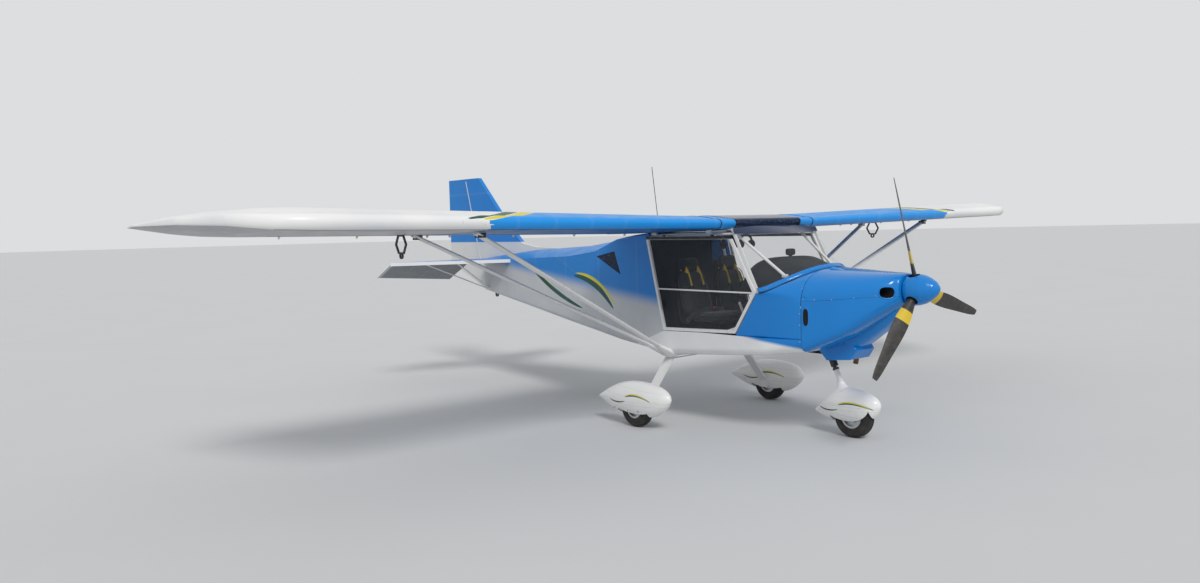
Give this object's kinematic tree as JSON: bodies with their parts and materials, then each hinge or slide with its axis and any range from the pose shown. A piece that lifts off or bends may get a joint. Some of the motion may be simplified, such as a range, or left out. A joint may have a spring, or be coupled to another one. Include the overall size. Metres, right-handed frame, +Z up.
{
  "type": "ultralight aircraft",
  "caption": "High-wing ultralight aircraft with strut-braced wing, tricycle gear in wheel fairings, nose propeller, glazed cabin doors and moving control surfaces.",
  "frame": {"origin": "on the ground, under the middle of the whole aircraft", "axes": "+Z up, the nose points along -Y, the port wing along +X"},
  "size_m": [9.51, 6.6926, 2.345],
  "materials": {
    "blue_skin": "satin doped fabric",
    "pale_skin": "satin composite shell",
    "blue_shell": "gloss composite shell",
    "clear": "clear sheet",
    "tinted": "tinted sheet",
    "white_metal": "gloss paint",
    "dark_metal": "satin paint",
    "grey_metal": "bare",
    "rust_metal": "heat stained",
    "black_plastic": "matte",
    "blade": "satin coating",
    "blue_plastic": "gloss",
    "white_plastic": "gloss",
    "seat": "woven cover",
    "tyre": "rubber"
  },
  "bodies": {
    "airframe": {"belly_tub": "pale_skin", "front_skin": "blue_shell", "windshield": "clear", "rear_fuselage": "blue_skin", "side_windows": "clear", "firewall": "grey_metal", "upper_cowling": "blue_shell", "lower_cowling": "blue_shell", "outlet_box": "blue_shell", "engine_block": "grey_metal", "port_wing": "blue_skin", "starboard_wing": "blue_skin", "wing_centre": "blue_skin", "roof_window": "tinted", "front_struts": "white_metal", "rear_struts": "white_metal", "strut_fairings": "white_plastic", "fin": "blue_skin", "stabilizer": "blue_skin", "tail_struts": "white_metal", "main_gear_legs": "white_metal", "main_spats": "white_plastic", "nose_sleeve": "dark_metal", "cabin_frame": "white_metal", "instrument_panel": "black_plastic", "port_seat": "seat", "starboard_seat": "seat", "seat_bases": "dark_metal", "control_sticks": "dark_metal", "exhaust": "rust_metal", "antenna": "white_plastic", "tie_down_brackets": "dark_metal", "tail_eye": "dark_metal"},
    "port_flap": {"port_flap": "blue_skin"},
    "starboard_flap": {"starboard_flap": "blue_skin"},
    "port_aileron": {"port_aileron": "blue_skin"},
    "starboard_aileron": {"starboard_aileron": "blue_skin"},
    "elevator": {"elevator": "blue_skin"},
    "rudder": {"rudder": "blue_skin"},
    "propeller": {"propeller": "blade", "spinner": "blue_plastic"},
    "nose_fork": {"nose_leg": "white_metal", "nose_spat": "white_plastic"},
    "nose_wheel": {"nose_rim": "grey_metal", "nose_tyre": "tyre"},
    "port_wheel": {"port_rim": "grey_metal", "port_tyre": "tyre"},
    "starboard_wheel": {"starboard_rim": "grey_metal", "starboard_tyre": "tyre"},
    "port_door": {"port_door_frame": "white_metal", "port_door_glass": "clear"},
    "starboard_door": {"starboard_door_frame": "white_metal", "starboard_door_glass": "clear"}
  },
  "joints": [
    {"name": "propeller_spin", "type": "hinge", "parent": "airframe", "child": "propeller", "pos_m": [0, -3.1547, 1.204], "axis": [0, -0.9977, 0.068], "continuous": true},
    {"name": "port_flap_hinge", "type": "hinge", "parent": "airframe", "child": "port_flap", "pos_m": [0.64, -0.62333, 1.69921], "axis": [0.9998, 0, 0.0175], "range_deg": [-35, 0]},
    {"name": "starboard_flap_hinge", "type": "hinge", "parent": "airframe", "child": "starboard_flap", "pos_m": [-0.64, -0.62333, 1.69921], "axis": [0.9998, 0, -0.0175], "range_deg": [-35, 0]},
    {"name": "port_aileron_hinge", "type": "hinge", "parent": "airframe", "child": "port_aileron", "pos_m": [3.95, -0.62333, 1.75698], "axis": [0.9998, 0, 0.0175], "range_deg": [-20, 20]},
    {"name": "starboard_aileron_hinge", "type": "hinge", "parent": "airframe", "child": "starboard_aileron", "pos_m": [-3.95, -0.62333, 1.75698], "axis": [0.9998, 0, -0.0175], "range_deg": [-20, 20]},
    {"name": "elevator_hinge", "type": "hinge", "parent": "airframe", "child": "elevator", "pos_m": [0, 2.4563, 1.374], "axis": [1, 0, 0], "range_deg": [0, 52]},
    {"name": "rudder_hinge", "type": "hinge", "parent": "airframe", "child": "rudder", "pos_m": [0, 2.6763, 1.37], "axis": [0, 0.276, 0.9612], "range_deg": [-25, 25]},
    {"name": "nose_steering", "type": "hinge", "parent": "airframe", "child": "nose_fork", "pos_m": [0, -2.5907, 0.168], "axis": [0, 0.4226, 0.9063], "range_deg": [-20, 20]},
    {"name": "nose_wheel_spin", "type": "hinge", "parent": "nose_fork", "child": "nose_wheel", "pos_m": [0, -2.5907, 0.168], "axis": [1, 0, 0], "continuous": true},
    {"name": "port_wheel_spin", "type": "hinge", "parent": "airframe", "child": "port_wheel", "pos_m": [0.89, -0.9957, 0.168], "axis": [1, 0, 0], "continuous": true},
    {"name": "starboard_wheel_spin", "type": "hinge", "parent": "airframe", "child": "starboard_wheel", "pos_m": [-0.89, -0.9957, 0.168], "axis": [1, 0, 0], "continuous": true},
    {"name": "port_door_hinge", "type": "hinge", "parent": "airframe", "child": "port_door", "pos_m": [0.55, -1.3087, 1.638], "axis": [0, -1, 0], "range_deg": [0, 80]},
    {"name": "starboard_door_hinge", "type": "hinge", "parent": "airframe", "child": "starboard_door", "pos_m": [-0.55, -1.3087, 1.638], "axis": [0, 1, 0], "range_deg": [0, 80]}
  ],
  "couplings": [
    {"joint": "starboard_flap_hinge", "follows": "port_flap_hinge", "ratio": 1},
    {"joint": "starboard_aileron_hinge", "follows": "port_aileron_hinge", "ratio": -1}
  ]
}
